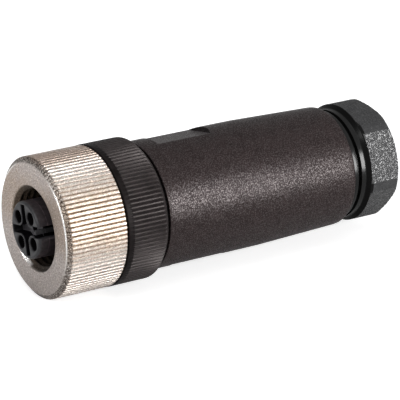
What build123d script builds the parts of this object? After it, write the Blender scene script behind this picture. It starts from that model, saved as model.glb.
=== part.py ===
"""M12 circular connector: female, straight, four contacts, wired in the field.

The axis lies along X. The front, where the plug enters, faces -X, and the cable
comes out at +X. The origin is the centre of the socket insert's front face.
"""
from build123d import *
from math import cos, pi, radians, sin
import os

# Whole connector
CONTACTS = 4
ROLL = 12.0                  # turn of the keyway, contacts and wrench flats about the axis
RUNNING_GAP = 0.05           # radial gap between a thread or a journal and its bore
THREAD_LEAD = 0.30           # bevel at the start of an outside thread
EDGE_BEVEL = 0.15            # broken edge of a moulded rim
PAST = 1.0                   # how far a cutting shape runs past the end that it cuts
OVER = 0.01                  # how far a cutting shape stands off a surface that it leaves alone
JOIN = 0.10                  # how far the shapes that make up one piece run into each other

# Socket insert
BARREL_R = 4.05
BARREL_END = 7.00            # where the barrel steps down to the seat of the face seal
SEAL_SEAT_R = 3.80
SEAL_SEAT_END = 8.20
FOOT_FRONT = 12.20           # wider foot at the rear, which stops the insert in the grip ring
FOOT_R = 4.30
INSERT_REAR = 13.60
BARREL_EDGE = 0.25
CONTACT_CIRCLE_R = 2.50
CONTACT_HOLE_R = 0.85
CONTACT_HOLE_LEAD = 0.20     # bevel at the mouth of each contact hole
RECESS_DEPTH = 1.50
RECESS_ARM = 1.10            # width of each arm of the cross-shaped recess
RECESS_REACH = 3.58          # how far the arms run from the axis
RECESS_KEY_REACH = 2.72      # the same for the arm that points at the keyway
TOWER_R = 1.25               # radius of the recess's inner corners, round each contact hole
PIT_R = 0.65                 # round pit in the middle of the recess
PIT_DEPTH = 2.60             # from the face
KEYWAY_W = 1.60
KEYWAY_FLOOR_R = 3.00
KEYWAY_DEPTH = 6.60
KEYWAY_GROOVE_W = 0.45       # groove along each side of the keyway's floor
KEYWAY_GROOVE_R = 2.30

# Coupling nut
NUT_FRONT = 1.20
NUT_LENGTH = 9.10
NUT_R = 10.00
NUT_TEETH = 100
NUT_TOOTH = 0.26
NUT_RIM_R = 9.20             # outer edge of the flat front ring
NUT_RIM_DEPTH = 0.60
NUT_REAR_BEVEL = 0.18
MOUTH_R = 6.15
THREAD_MINOR_R = 5.46        # M12x1, inside thread
RELIEF_R = 5.95
RELIEF_FRONT = 7.20
RELIEF_BEVEL = 0.40
COLLAR_FRONT = 8.98          # inward collar at the nut's rear

# Face seal and spring ring
FACE_SEAL_CORD_R = 0.55
SPRING_RING_FRONT = 8.35
SPRING_RING_REAR = 8.80
SPRING_RING_R = 5.28
SPRING_GROOVE_R = 4.50
SPRING_RING_OPENING = 40.0

# Grip ring, with the neck that carries the coupling nut and the spigot that carries the sleeve
NECK_R = 4.75
NUT_CLEARANCE = 0.12         # radial, between the coupling nut's collar and the neck
RING_FRONT = 10.50
RING_REAR = 17.12
RING_R = 10.05
RING_TEETH = 102
RING_TOOTH = 0.27
RING_BAND = 0.85             # smooth band in front of the knurl
RING_REAR_R = 9.38
RING_BEVEL = 0.62
CAVITY_R = 6.95
SPIGOT_R = 7.75
SPIGOT_END = 24.20

# Housing sleeve
SLEEVE_FRONT = 17.65
SLEEVE_REAR = 49.15
SLEEVE_R = 9.12
TAPER_START = 35.20
SLEEVE_REAR_R = 8.70
SLEEVE_ROUND = 0.65
SLEEVE_MOUTH_BEVEL = 0.30
SEAL_STEP_R = 8.65
SEAL_STEP_DEPTH = 0.65
CHAMBER_R = 7.40
CHAMBER_FRONT = 24.90
WEB_FRONT = 34.00
WEB_REAR = 35.00
WEB_HOLE_R = 4.20
SEAT_R = 6.40
SEAT_REAR = 41.50
GLAND_BORE_R = 7.25
FLAT_DISTANCE = 8.58         # from the axis to each wrench flat
FLAT_FRONT = 20.45
FLAT_REAR = 29.90
FLAT_RUNOUT = 0.80

# Ring between the grip ring and the sleeve
JOINT_CORD_R = 0.42

# Cable seal and clamp cage
SEAL_FRONT = 35.10
SEAL_REAR = 41.20
SEAL_R = 6.30
SEAL_BORE_R = 2.60
SEAL_RIBS = 3
SEAL_RIB_DEPTH = 0.40
SEAL_RIB_CREST = (0.3, 0.7)  # where the crest of a rib starts and ends, as shares of its length
SEAL_EDGE = 0.30
CAGE_FRONT = 41.40
CAGE_BASE_END = 43.00
CAGE_REAR = 48.00
CAGE_R = 5.95
CAGE_BORE_R = 3.75
CAGE_TIP_R = 4.70
CAGE_TIP_LENGTH = 1.60
CAGE_FINGERS = 8
CAGE_SLOT = 0.70

# Gland nut
BOSS_FRONT = 42.00
BOSS_R = 7.20
BOSS_BORE_R = 6.10
RIM_R = 8.02
RIM_LENGTH = 0.72
RIM_1_FRONT = 49.25
RIM_2_FRONT = 50.50
RIM_GROOVE_R = 7.55
RIM_EDGE = 0.12
COLLAR_FULL = 51.78          # where the collar's front cone reaches its full size
COLLAR_END = 52.25
COLLAR_BACK = 0.42           # length of the collar's rear bevel, down to the hexagon
COLLAR_R = 8.58
HEX_OVERLAP = 0.40
HEX_FLAT_R = 7.78            # from the axis to each face of the hexagon
HEX_CORNER_R = 8.60
HEX_TURN = 20.0              # where the face nearest the viewer points
GLAND_REAR = 57.20
GLAND_END_R = 7.70
GLAND_END_BEVEL = 0.70
CABLE_BORE_R = 3.60
CABLE_MOUTH_R = 4.60
CONE_START = 46.60
CONE_END = 49.80
CONE_END_R = 4.20

# Contacts and terminals
CONTACT_FRONT = 1.30
SOCKET_R = 0.78
PIN_BORE_R = 0.50
PIN_BORE_DEPTH = 6.00
SHANK_R = 0.62
CONTACT_COLLAR_R = 1.00
CONTACT_COLLAR_FRONT = 9.00
CONTACT_COLLAR_REAR = 10.20
TERMINAL_FRONT = 24.60
TERMINAL_REAR = 29.00
TERMINAL_IN_R = 2.40
TERMINAL_OUT_R = 5.40
TERMINAL_W = 3.20
WIRE_FRONT = 25.20
WIRE_IN_R = 2.80
WIRE_OUT_R = 4.60
WIRE_W = 2.00
BLOCK_R = 6.80
BLOCK_REAR = 29.20
POCKET_GAP = 0.04            # between a contact and the pocket that holds it
SCREW_X = 26.90
SCREW_R = 0.95
SCREW_TIP_R = 3.45           # distance of the screw's tip from the axis
SCREW_HEAD_R = 1.45
SCREW_HEAD_UNDER = 5.50
SCREW_HEAD_TOP = 6.20
SCREW_SLOT_W = 0.36
SCREW_SLOT_DEPTH = 0.36
SCREW_POCKET_R = 1.65
SCREW_POCKET_DEPTH = 0.50    # how far the pocket runs in past the terminal's outer face
GUARD_IN_R = 3.05
GUARD_THICK = 0.30
GUARD_W = 1.50
GUARD_FRONT = 25.40
GUARD_REAR = 28.80

# Straight knurl: the crest of a tooth and the bottom of its groove, as shares of one tooth
CREST_START = -0.30
CREST_END = 0.14
GROOVE_AT = 0.42

AXIS_PLANE = Plane(origin=(0, 0, 0), x_dir=(0, -1, 0), z_dir=(1, 0, 0))


def turned(points):
    """Solid of revolution about X from its (x, radius) outline."""
    with BuildSketch(Plane.XY) as outline:
        with BuildLine():
            Polyline(*points, close=True)
        make_face()
    return revolve(outline.sketch, Axis.X)


def tube(front, rear, outer_r, inner_r=0.0):
    """Plain ring or disc between two stations on the axis."""
    return turned([(front, inner_r), (rear, inner_r), (rear, outer_r), (front, outer_r)])


def around(angle):
    """Frame with Z along the axis and X pointing outwards, at an angle from -Y towards +Z."""
    t = radians(angle)
    return Plane(origin=(0, 0, 0), x_dir=(0, -cos(t), sin(t)), z_dir=(1, 0, 0))


def block(angle, radial, tangential, axial):
    """Box placed by its (low, high) limits outwards, sideways and along the axis."""
    frame = around(angle)
    size = [limits[1] - limits[0] for limits in (radial, tangential, axial)]
    middle = [(limits[0] + limits[1]) / 2 for limits in (radial, tangential, axial)]
    return frame * Pos(*middle) * Box(*size)


def spoke(angle, station, radius, inner, outer):
    """Round bar pointing outwards from the axis at one station."""
    frame = around(angle)
    bar = Cylinder(radius, outer - inner)
    return frame * Pos((inner + outer) / 2, 0, station) * Rot(0, 90, 0) * bar


def lengthwise(angle, offset, radius, front, rear):
    """Round bar parallel to the axis, offset from it."""
    frame = around(angle)
    bar = Cylinder(radius, rear - front)
    return frame * Pos(offset, 0, (front + rear) / 2) * bar


def knurled_bar(teeth, radius, depth, front, rear):
    """Straight-knurled bar: one shallow V groove between each two teeth."""
    step = 2 * pi / teeth
    points = []
    for tooth in range(teeth):
        for share, r in ((CREST_START, radius), (CREST_END, radius), (GROOVE_AT, radius - depth)):
            a = (tooth + share) * step
            points.append((r * cos(a), r * sin(a)))
    with BuildSketch(AXIS_PLANE.offset(front)) as section:
        with BuildLine():
            Polyline(*points, close=True)
        make_face()
    return extrude(section.sketch, rear - front)


def contact_angles():
    """Angles of the four contacts, from the side with the keyway."""
    return [ROLL + 45 + 360 / CONTACTS * i for i in range(CONTACTS)]


def make_coupling_nut():
    rear = NUT_FRONT + NUT_LENGTH
    body = knurled_bar(NUT_TEETH, NUT_R, NUT_TOOTH, NUT_FRONT, rear)
    collar_r = NECK_R + NUT_CLEARANCE
    envelope = turned([
        (NUT_FRONT, 0), (rear, 0), (rear, NUT_R - NUT_REAR_BEVEL), (rear - NUT_REAR_BEVEL, NUT_R + OVER),
        (NUT_FRONT + NUT_RIM_DEPTH, NUT_R + OVER), (NUT_FRONT, NUT_RIM_R)])
    bore = turned([
        (NUT_FRONT - PAST, 0), (rear + PAST, 0), (rear + PAST, collar_r), (COLLAR_FRONT, collar_r),
        (COLLAR_FRONT, RELIEF_R), (RELIEF_FRONT, RELIEF_R), (RELIEF_FRONT - RELIEF_BEVEL, THREAD_MINOR_R),
        (NUT_FRONT + MOUTH_R - THREAD_MINOR_R, THREAD_MINOR_R), (NUT_FRONT, MOUTH_R),
        (NUT_FRONT - PAST, MOUTH_R)])
    return (body & envelope) - bore


def make_grip_ring():
    """Knurled ring with a grooved neck in front and a spigot behind, bored for the insert and the terminals."""
    knurl = knurled_bar(RING_TEETH, RING_R, RING_TOOTH, RING_FRONT + RING_BAND, RING_REAR)
    knurl += tube(RING_FRONT, RING_FRONT + RING_BAND, RING_R)
    envelope = turned([
        (RING_FRONT, 0), (RING_REAR, 0), (RING_REAR, RING_REAR_R), (RING_REAR - RING_BEVEL, RING_R + OVER),
        (RING_FRONT + EDGE_BEVEL, RING_R + OVER), (RING_FRONT, RING_R - EDGE_BEVEL)])
    neck = turned([
        (SEAL_SEAT_END, 0), (FOOT_FRONT, 0), (FOOT_FRONT, NECK_R), (SPRING_RING_REAR, NECK_R),
        (SPRING_RING_REAR, SPRING_GROOVE_R), (SPRING_RING_FRONT, SPRING_GROOVE_R), (SPRING_RING_FRONT, NECK_R),
        (SEAL_SEAT_END, NECK_R)])
    spigot = turned([
        (FOOT_FRONT, 0), (SPIGOT_END, 0), (SPIGOT_END, SPIGOT_R - THREAD_LEAD),
        (SPIGOT_END - THREAD_LEAD, SPIGOT_R), (FOOT_FRONT, SPIGOT_R)])
    bore = turned([
        (SEAL_SEAT_END - PAST, 0), (SPIGOT_END + PAST, 0), (SPIGOT_END + PAST, CAVITY_R), (FOOT_FRONT, CAVITY_R),
        (FOOT_FRONT, BARREL_R), (SEAL_SEAT_END - PAST, BARREL_R)])
    return (knurl & envelope) + neck + spigot - bore


def make_socket_insert():
    """Barrel with four contact holes, a cross-shaped recess and a keyway, on a foot."""
    body = turned([
        (0, 0), (INSERT_REAR, 0), (INSERT_REAR, FOOT_R), (FOOT_FRONT, FOOT_R), (FOOT_FRONT, BARREL_R),
        (SEAL_SEAT_END, BARREL_R), (SEAL_SEAT_END, SEAL_SEAT_R), (BARREL_END, SEAL_SEAT_R),
        (BARREL_END, BARREL_R), (BARREL_EDGE, BARREL_R), (0, BARREL_R - BARREL_EDGE)])
    for angle in contact_angles():
        body -= contact_hole(angle)
    return body - recess() - keyway()


def recess():
    """Cross-shaped recess between the contact holes, with rounded inner corners and a pit in the middle."""
    half = RECESS_ARM / 2
    deep = (-PAST, RECESS_DEPTH)
    square = CONTACT_CIRCLE_R * cos(pi / CONTACTS)
    cut = block(ROLL, (-square, square), (-square, square), deep)
    for angle in contact_angles():
        cut -= lengthwise(angle, CONTACT_CIRCLE_R, TOWER_R, -2 * PAST, RECESS_DEPTH + PAST)
    for angle, reach in ((0, RECESS_KEY_REACH), (90, RECESS_REACH), (180, RECESS_REACH), (270, RECESS_REACH)):
        cut += block(ROLL + angle, (0, reach), (-half, half), deep)
    return cut + lengthwise(0, 0, PIT_R, -PAST, PIT_DEPTH)


def keyway():
    """Notch along the barrel, with a raised strip in the middle of its floor."""
    half = KEYWAY_W / 2
    deep = (-PAST, KEYWAY_DEPTH)
    cut = block(ROLL, (KEYWAY_FLOOR_R, BARREL_R + PAST), (-half, half), deep)
    for low in (-half, half - KEYWAY_GROOVE_W):
        cut += block(ROLL, (KEYWAY_GROOVE_R, BARREL_R + PAST), (low, low + KEYWAY_GROOVE_W), deep)
    return cut


def contact_hole(angle):
    """Stepped hole for one contact, with a bevelled mouth."""
    mouth_r = CONTACT_HOLE_R + CONTACT_HOLE_LEAD
    mouth = Pos(CONTACT_CIRCLE_R, 0, CONTACT_HOLE_LEAD / 2) * Cone(mouth_r, CONTACT_HOLE_R, CONTACT_HOLE_LEAD)
    hole = lengthwise(angle, CONTACT_CIRCLE_R, CONTACT_HOLE_R, -PAST, CONTACT_COLLAR_FRONT)
    hole += lengthwise(angle, CONTACT_CIRCLE_R, CONTACT_COLLAR_R, CONTACT_COLLAR_FRONT, INSERT_REAR + PAST)
    return hole + around(angle) * mouth


def make_face_seal():
    middle = SEAL_SEAT_R + FACE_SEAL_CORD_R + OVER
    station = (BARREL_END + SEAL_SEAT_END) / 2
    return Pos(station, 0, 0) * Rot(0, 90, 0) * Torus(middle, FACE_SEAL_CORD_R)


def make_spring_ring():
    ring = tube(SPRING_RING_FRONT, SPRING_RING_REAR, SPRING_RING_R, SPRING_GROOVE_R)
    half = SPRING_RING_OPENING / 2
    reach = 2 * SPRING_RING_R
    edge = [(reach * cos(radians(a)), reach * sin(radians(a))) for a in (-half, half)]
    with BuildSketch(AXIS_PLANE.offset(SPRING_RING_FRONT - PAST)) as wedge:
        with BuildLine():
            Polyline((0, 0), *edge, close=True)
        make_face()
    return ring - extrude(wedge.sketch, SPRING_RING_REAR - SPRING_RING_FRONT + 2 * PAST)


def make_joint_ring():
    middle = SPIGOT_R + JOINT_CORD_R + OVER
    station = RING_REAR + JOINT_CORD_R + OVER
    return Pos(station, 0, 0) * Rot(0, 90, 0) * Torus(middle, JOINT_CORD_R)


def make_housing_sleeve():
    """Sleeve with its end rounded by an arc, hollow in steps, with two wrench flats."""
    arc_start = (SLEEVE_REAR - SLEEVE_ROUND, SLEEVE_REAR_R)
    arc_end = (SLEEVE_REAR, SLEEVE_REAR_R - SLEEVE_ROUND)
    with BuildSketch(Plane.XY) as outline:
        with BuildLine():
            Polyline((SLEEVE_FRONT, 0), (SLEEVE_FRONT, SLEEVE_R - EDGE_BEVEL),
                     (SLEEVE_FRONT + EDGE_BEVEL, SLEEVE_R), (TAPER_START, SLEEVE_R), arc_start)
            RadiusArc(arc_start, arc_end, SLEEVE_ROUND)
            Polyline(arc_end, (SLEEVE_REAR, 0), (SLEEVE_FRONT, 0))
        make_face()
    body = revolve(outline.sketch, Axis.X) - sleeve_hollow()
    for side in (90, -90):
        body -= wrench_cut(ROLL + side)
    return body


def sleeve_hollow():
    """Thread bores at both ends, the wiring chamber and the seat of the cable seal."""
    thread_r = SPIGOT_R + RUNNING_GAP
    step = SLEEVE_FRONT + SEAL_STEP_DEPTH
    mouth_r = GLAND_BORE_R + SLEEVE_MOUTH_BEVEL
    return turned([
        (SLEEVE_FRONT - PAST, 0), (SLEEVE_REAR + PAST, 0), (SLEEVE_REAR + PAST, mouth_r), (SLEEVE_REAR, mouth_r),
        (SLEEVE_REAR - SLEEVE_MOUTH_BEVEL, GLAND_BORE_R), (SEAT_REAR, GLAND_BORE_R), (SEAT_REAR, SEAT_R),
        (WEB_REAR, SEAT_R), (WEB_REAR, WEB_HOLE_R), (WEB_FRONT, WEB_HOLE_R), (WEB_FRONT, CHAMBER_R),
        (CHAMBER_FRONT, CHAMBER_R), (CHAMBER_FRONT, thread_r), (step, thread_r), (step, SEAL_STEP_R),
        (SLEEVE_FRONT - PAST, SEAL_STEP_R)])


def wrench_cut(angle):
    """Prism that cuts one wrench flat, with its rear end run out at a slope."""
    frame = around(angle)
    high = SLEEVE_R + PAST
    slope = FLAT_RUNOUT / (SLEEVE_R - FLAT_DISTANCE)
    foot = FLAT_REAR - FLAT_RUNOUT
    side = Plane(origin=(0, 0, 0), x_dir=frame.x_dir, z_dir=frame.y_dir)
    profile = [(FLAT_DISTANCE, FLAT_FRONT), (FLAT_DISTANCE, foot), (high, foot + slope * (high - FLAT_DISTANCE)),
               (high, FLAT_FRONT)]
    with BuildSketch(side.offset(-SLEEVE_R)) as face:
        with BuildLine():
            Polyline(*[(r, -x) for r, x in profile], close=True)
        make_face()
    return extrude(face.sketch, 2 * SLEEVE_R)


def make_cable_seal():
    """Rubber bush with shallow ribs inside, where it grips the cable."""
    groove_r = SEAL_BORE_R + SEAL_RIB_DEPTH
    crest_start, crest_end = SEAL_RIB_CREST
    pitch = (SEAL_REAR - SEAL_FRONT) / SEAL_RIBS
    outline = [(SEAL_FRONT, SEAL_R - SEAL_EDGE), (SEAL_FRONT, groove_r)]
    for rib in range(SEAL_RIBS):
        start = SEAL_FRONT + rib * pitch
        outline += [(start + pitch * crest_start, SEAL_BORE_R), (start + pitch * crest_end, SEAL_BORE_R),
                    (start + pitch, groove_r)]
    outline += [(SEAL_REAR, SEAL_R - SEAL_EDGE), (SEAL_REAR - SEAL_EDGE, SEAL_R), (SEAL_FRONT + SEAL_EDGE, SEAL_R)]
    return turned(outline)


def make_clamp_cage():
    """Slotted cage: a base ring and a crown of fingers with tapered tips."""
    cage = turned([
        (CAGE_FRONT, CAGE_BORE_R), (CAGE_REAR, CAGE_BORE_R), (CAGE_REAR, CAGE_TIP_R),
        (CAGE_REAR - CAGE_TIP_LENGTH, CAGE_R), (CAGE_FRONT, CAGE_R)])
    for finger in range(CAGE_FINGERS):
        angle = (finger + 0.5) * 360 / CAGE_FINGERS
        cage -= block(
            angle, (0, CAGE_R + PAST), (-CAGE_SLOT / 2, CAGE_SLOT / 2), (CAGE_BASE_END, CAGE_REAR + PAST))
    return cage


def hexagon_head():
    """Hexagon with its corners rounded to a circle and its rear end bevelled."""
    start = COLLAR_END - HEX_OVERLAP
    section = AXIS_PLANE.offset(start) * Rot(0, 0, HEX_TURN) * RegularPolygon(HEX_FLAT_R, 6, major_radius=False)
    envelope = turned([
        (start, 0), (GLAND_REAR, 0), (GLAND_REAR, GLAND_END_R), (GLAND_REAR - GLAND_END_BEVEL, HEX_CORNER_R),
        (start, HEX_CORNER_R)])
    return extrude(section, GLAND_REAR - start) & envelope


def make_gland_nut():
    """Pressing screw: threaded boss, two thin rims, a smooth collar and a hexagon, bored right through."""
    edge = RIM_EDGE
    outline = [(BOSS_FRONT, 0), (BOSS_FRONT, BOSS_R - THREAD_LEAD), (BOSS_FRONT + THREAD_LEAD, BOSS_R)]
    floor_r = BOSS_R
    for rim in (RIM_1_FRONT, RIM_2_FRONT):
        outline += [(rim, floor_r), (rim, RIM_R - edge), (rim + edge, RIM_R), (rim + RIM_LENGTH - edge, RIM_R),
                    (rim + RIM_LENGTH, RIM_R - edge)]
        floor_r = RIM_GROOVE_R
        outline.append((rim + RIM_LENGTH, floor_r))
    outline.pop()
    outline += [(COLLAR_FULL, COLLAR_R), (COLLAR_END - COLLAR_BACK, COLLAR_R), (COLLAR_END, HEX_FLAT_R),
                (COLLAR_END, 0)]
    bore = turned([
        (BOSS_FRONT - PAST, 0), (GLAND_REAR + PAST, 0), (GLAND_REAR + PAST, CABLE_MOUTH_R),
        (GLAND_REAR, CABLE_MOUTH_R), (GLAND_REAR - CABLE_MOUTH_R + CABLE_BORE_R, CABLE_BORE_R),
        (CONE_END, CABLE_BORE_R), (CONE_END, CONE_END_R), (CONE_START, BOSS_BORE_R),
        (BOSS_FRONT - PAST, BOSS_BORE_R)])
    return hexagon_head() + turned(outline) - bore


def make_contact(angle):
    """One socket contact: socket, shank, holding collar and terminal cage."""
    body = lengthwise(angle, CONTACT_CIRCLE_R, SOCKET_R, CONTACT_FRONT, CONTACT_COLLAR_FRONT + JOIN)
    body += lengthwise(angle, CONTACT_CIRCLE_R, CONTACT_COLLAR_R - POCKET_GAP,
                       CONTACT_COLLAR_FRONT + POCKET_GAP, CONTACT_COLLAR_REAR)
    body += lengthwise(angle, CONTACT_CIRCLE_R, SHANK_R, CONTACT_COLLAR_REAR - JOIN, TERMINAL_FRONT)
    half = TERMINAL_W / 2
    body += block(angle, (TERMINAL_IN_R, TERMINAL_OUT_R), (-half, half), (TERMINAL_FRONT, TERMINAL_REAR))
    pin_end = CONTACT_FRONT + PIN_BORE_DEPTH
    body -= lengthwise(angle, CONTACT_CIRCLE_R, PIN_BORE_R, CONTACT_FRONT - PAST, pin_end)
    wire = WIRE_W / 2
    body -= block(angle, (WIRE_IN_R, WIRE_OUT_R), (-wire, wire), (WIRE_FRONT, TERMINAL_REAR + PAST))
    body -= spoke(angle, SCREW_X, SCREW_R + RUNNING_GAP, WIRE_OUT_R - JOIN, TERMINAL_OUT_R + PAST)
    return body


def make_terminal_block():
    """Block behind the insert's foot, with a pocket for each terminal and a well for each screw."""
    body = tube(FOOT_FRONT, BLOCK_REAR, BLOCK_R) - tube(FOOT_FRONT - PAST, INSERT_REAR, FOOT_R)
    half = TERMINAL_W / 2 + POCKET_GAP
    for angle in contact_angles():
        body -= lengthwise(angle, CONTACT_CIRCLE_R, SHANK_R + POCKET_GAP, INSERT_REAR - PAST, TERMINAL_FRONT)
        body -= block(angle, (TERMINAL_IN_R - POCKET_GAP, TERMINAL_OUT_R + POCKET_GAP), (-half, half),
                      (TERMINAL_FRONT - POCKET_GAP, BLOCK_REAR + PAST))
        body -= spoke(angle, SCREW_X, SCREW_POCKET_R, TERMINAL_OUT_R - SCREW_POCKET_DEPTH, BLOCK_R + PAST)
    return body


def make_terminal_screw(angle):
    """Slotted screw that points at the axis."""
    screw = spoke(angle, SCREW_X, SCREW_R, SCREW_TIP_R, SCREW_HEAD_UNDER + JOIN)
    screw += spoke(angle, SCREW_X, SCREW_HEAD_R, SCREW_HEAD_UNDER, SCREW_HEAD_TOP)
    half = SCREW_SLOT_W / 2
    across = (-2 * SCREW_HEAD_R, 2 * SCREW_HEAD_R)
    screw -= block(angle, (SCREW_HEAD_TOP - SCREW_SLOT_DEPTH, SCREW_HEAD_TOP + PAST), across,
                   (SCREW_X - half, SCREW_X + half))
    return screw


def make_wire_guard(angle):
    half = GUARD_W / 2
    return block(angle, (GUARD_IN_R, GUARD_IN_R + GUARD_THICK), (-half, half), (GUARD_FRONT, GUARD_REAR))


def build_parts():
    parts = {
        "socket_insert": make_socket_insert(),
        "coupling_nut": make_coupling_nut(),
        "face_seal": make_face_seal(),
        "nut_retaining_ring": make_spring_ring(),
        "grip_ring": make_grip_ring(),
        "housing_o_ring": make_joint_ring(),
        "housing_sleeve": make_housing_sleeve(),
        "cable_seal": make_cable_seal(),
        "clamp_cage": make_clamp_cage(),
        "gland_nut": make_gland_nut(),
        "terminal_block": make_terminal_block(),
    }
    for number, angle in enumerate(contact_angles(), start=1):
        parts[f"contact_{number}"] = make_contact(angle)
        parts[f"terminal_screw_{number}"] = make_terminal_screw(angle)
        parts[f"wire_guard_{number}"] = make_wire_guard(angle)
    return parts


os.makedirs("parts", exist_ok=True)
for node, shape in build_parts().items():
    shape.label = node
    export_step(shape, f"parts/{node}.step")
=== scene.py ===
"""M12 circular connector: female, straight, with a knurled metal nut and a plastic housing.

The sections follow the connector as it is put together, from the contacts to the gland
nut. Sizes are in millimetres. The axis is X, and the plug enters from -X.
"""
import bmesh
import bpy
from math import cos, pi, radians, sin
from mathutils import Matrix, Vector


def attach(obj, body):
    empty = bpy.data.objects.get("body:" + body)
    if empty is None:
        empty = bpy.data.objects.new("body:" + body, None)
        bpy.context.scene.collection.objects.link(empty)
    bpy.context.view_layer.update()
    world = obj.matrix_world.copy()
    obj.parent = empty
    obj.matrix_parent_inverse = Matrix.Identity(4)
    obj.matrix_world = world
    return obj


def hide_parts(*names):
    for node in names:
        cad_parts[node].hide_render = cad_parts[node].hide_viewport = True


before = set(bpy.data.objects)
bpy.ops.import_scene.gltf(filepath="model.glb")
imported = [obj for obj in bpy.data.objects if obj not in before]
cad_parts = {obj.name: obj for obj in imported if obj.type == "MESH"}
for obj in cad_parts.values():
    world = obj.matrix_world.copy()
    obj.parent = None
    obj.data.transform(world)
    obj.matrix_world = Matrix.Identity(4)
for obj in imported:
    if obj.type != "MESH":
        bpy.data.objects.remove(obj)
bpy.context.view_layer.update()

# Contacts
# Four sockets turned from brass and gold-plated over nickel, each with a terminal
# cage at its rear. They are pushed into the insert from behind until the collar stops.
CONTACTS = 4
GOLD = (0.78, 0.56, 0.24, 1)
GOLD_WORN = (0.66, 0.46, 0.20, 1)
MM = 0.001


def node(tree, kind, inputs=(), **settings):
    """Adds a node to a tree, with its sockets set to values or joined to other sockets."""
    made = tree.nodes.new(kind)
    for name, value in settings.items():
        setattr(made, name, value)
    for key, value in dict(inputs).items():
        if isinstance(value, bpy.types.NodeSocket):
            tree.links.new(value, made.inputs[key])
        else:
            made.inputs[key].default_value = value
    return made


def math(tree, operation, *values):
    """One step of arithmetic in a node tree."""
    return node(tree, "ShaderNodeMath", enumerate(values), operation=operation).outputs[0]


def opened(material):
    """What a further step in a material needs: (tree, shader, position)."""
    tree = material.node_tree
    return tree, tree.nodes["Principled BSDF"], node(tree, "ShaderNodeTexCoord").outputs["Object"]


def finish_of(name, **sockets):
    """A new material with its even values set on the shader: (material, tree, shader, position)."""
    material = bpy.data.materials.new(name)
    material.use_nodes = True
    tree, shader, place = opened(material)
    for socket, value in sockets.items():
        shader.inputs[socket.replace("_", " ")].default_value = value
    return material, tree, shader, place


def joined_to(shader, name):
    """The output that is already joined to one of the shader's sockets."""
    return shader.inputs[name].links[0].from_socket


def noise(tree, place, size, detail=2.0, roughness=0.5):
    """Even noise whose grains are about size millimetres wide."""
    scale = 1 / (size * MM)
    made = node(tree, "ShaderNodeTexNoise", {
        "Vector": place, "Scale": scale, "Detail": detail, "Roughness": roughness})
    return made.outputs[0]


def between(tree, value, low, high, from_low=0.3, from_high=0.7):
    """The value mapped to low and high, from the usual span of noise or from the one given."""
    made = node(tree, "ShaderNodeMapRange", {
        "Value": value, "From Min": from_low, "From Max": from_high, "To Min": low, "To Max": high})
    return made.outputs[0]


def blend_colours(tree, value, dark, light, way="MIX"):
    """Two colours mixed by a value from 0 to 1."""
    inputs = {0: value, 6: dark, 7: light}
    return node(tree, "ShaderNodeMix", inputs, data_type="RGBA", blend_type=way).outputs[2]


def relief(tree, shader, height, depth):
    """Bumps of that depth, in millimetres."""
    made = node(tree, "ShaderNodeBump", {"Height": height, "Distance": depth * MM})
    tree.links.new(made.outputs[0], shader.inputs["Normal"])


def contact_gold():
    """Gold plate with faint turning marks and cloudy wear."""
    material, tree, shader, place = finish_of("contact_gold", Metallic=1.0)
    cloud = between(tree, noise(tree, place, 0.8), 0, 1)
    tree.links.new(blend_colours(tree, cloud, GOLD_WORN, GOLD), shader.inputs["Base Color"])
    tree.links.new(between(tree, cloud, 0.34, 0.22, 0, 1), shader.inputs["Roughness"])
    relief(tree, shader, noise(tree, place, 0.06), 0.004)
    return material


def dress(node_name, material):
    """Gives a CAD piece that keeps its own shape a new finish."""
    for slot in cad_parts[node_name].material_slots:
        slot.material = material


gold = contact_gold()
for number in range(1, CONTACTS + 1):
    dress(f"contact_{number}", gold)

# Socket insert
# The insulating body that holds the contacts, moulded in one piece in black glass-filled
# nylon. Its barrel has the keyway that lets the plug in only one way round.
INSERT_DARK = (0.014, 0.014, 0.016, 1)
INSERT_LIGHT = (0.034, 0.033, 0.036, 1)
RECESS_PAINTED_SHADE = (0.12, 0.11, 0.12, 1)       # painted shade on the walls of the recess and the holes
FLOOR_PAINTED_LIGHT = (2.6, 2.5, 2.5, 1)         # painted light on the floor of the recess
EDGE_PAINTED_HIGHLIGHT = (8, 8, 8, 1)                # painted highlight on the upper part of the barrel's front edge
BARREL_SHADE = (1.35, 1.10, 1.10, 1)     # on the outside of the barrel
INSERT_SHINE = 0.30
# the walls of the recess and the holes also lose most of their shine, as part of the painted shade
WALL_SHINE = 0.03
INSERT_GRAIN = 0.12
INSERT_RELIEF = 0.014
INSERT_EDGE = 0.07
BARREL_R = 4.05
RECESS_REACH = 3.58
RECESS_DEPTH = 1.50
KEYWAY_FLOOR_R = 3.00
ROLL = 12.0              # turn of the keyway and the wrench flats about the axis, in degrees
SAME_POINT = 0.0005      # points closer than this are one
SAME_PLANE = 0.5         # faces that meet at less than this angle, in degrees, are one
SHARP = 35               # edges above this angle, in degrees, are rounded or stay sharp


def station(tree, place):
    """Distance along the axis and from the axis, in millimetres."""
    spot = node(tree, "ShaderNodeSeparateXYZ", {"Vector": place}).outputs
    square = math(tree, "ADD", math(tree, "POWER", spot["Y"], 2), math(tree, "POWER", spot["Z"], 2))
    return math(tree, "DIVIDE", spot["X"], MM), math(tree, "DIVIDE", math(tree, "SQRT", square), MM)


def shaded(tree, colour, amount, shade):
    """A colour multiplied by a shade where amount is 1."""
    return blend_colours(tree, amount, colour, shade, "MULTIPLY")


def overlap(tree, *masks):
    """A mask that is 1 only where all the given masks are 1."""
    shared = masks[0]
    for mask in masks[1:]:
        shared = math(tree, "MULTIPLY", shared, mask)
    return shared


def outside(tree, mask):
    """1 where the mask is 0, and 0 where it is 1."""
    return math(tree, "SUBTRACT", 1, mask)


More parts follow.
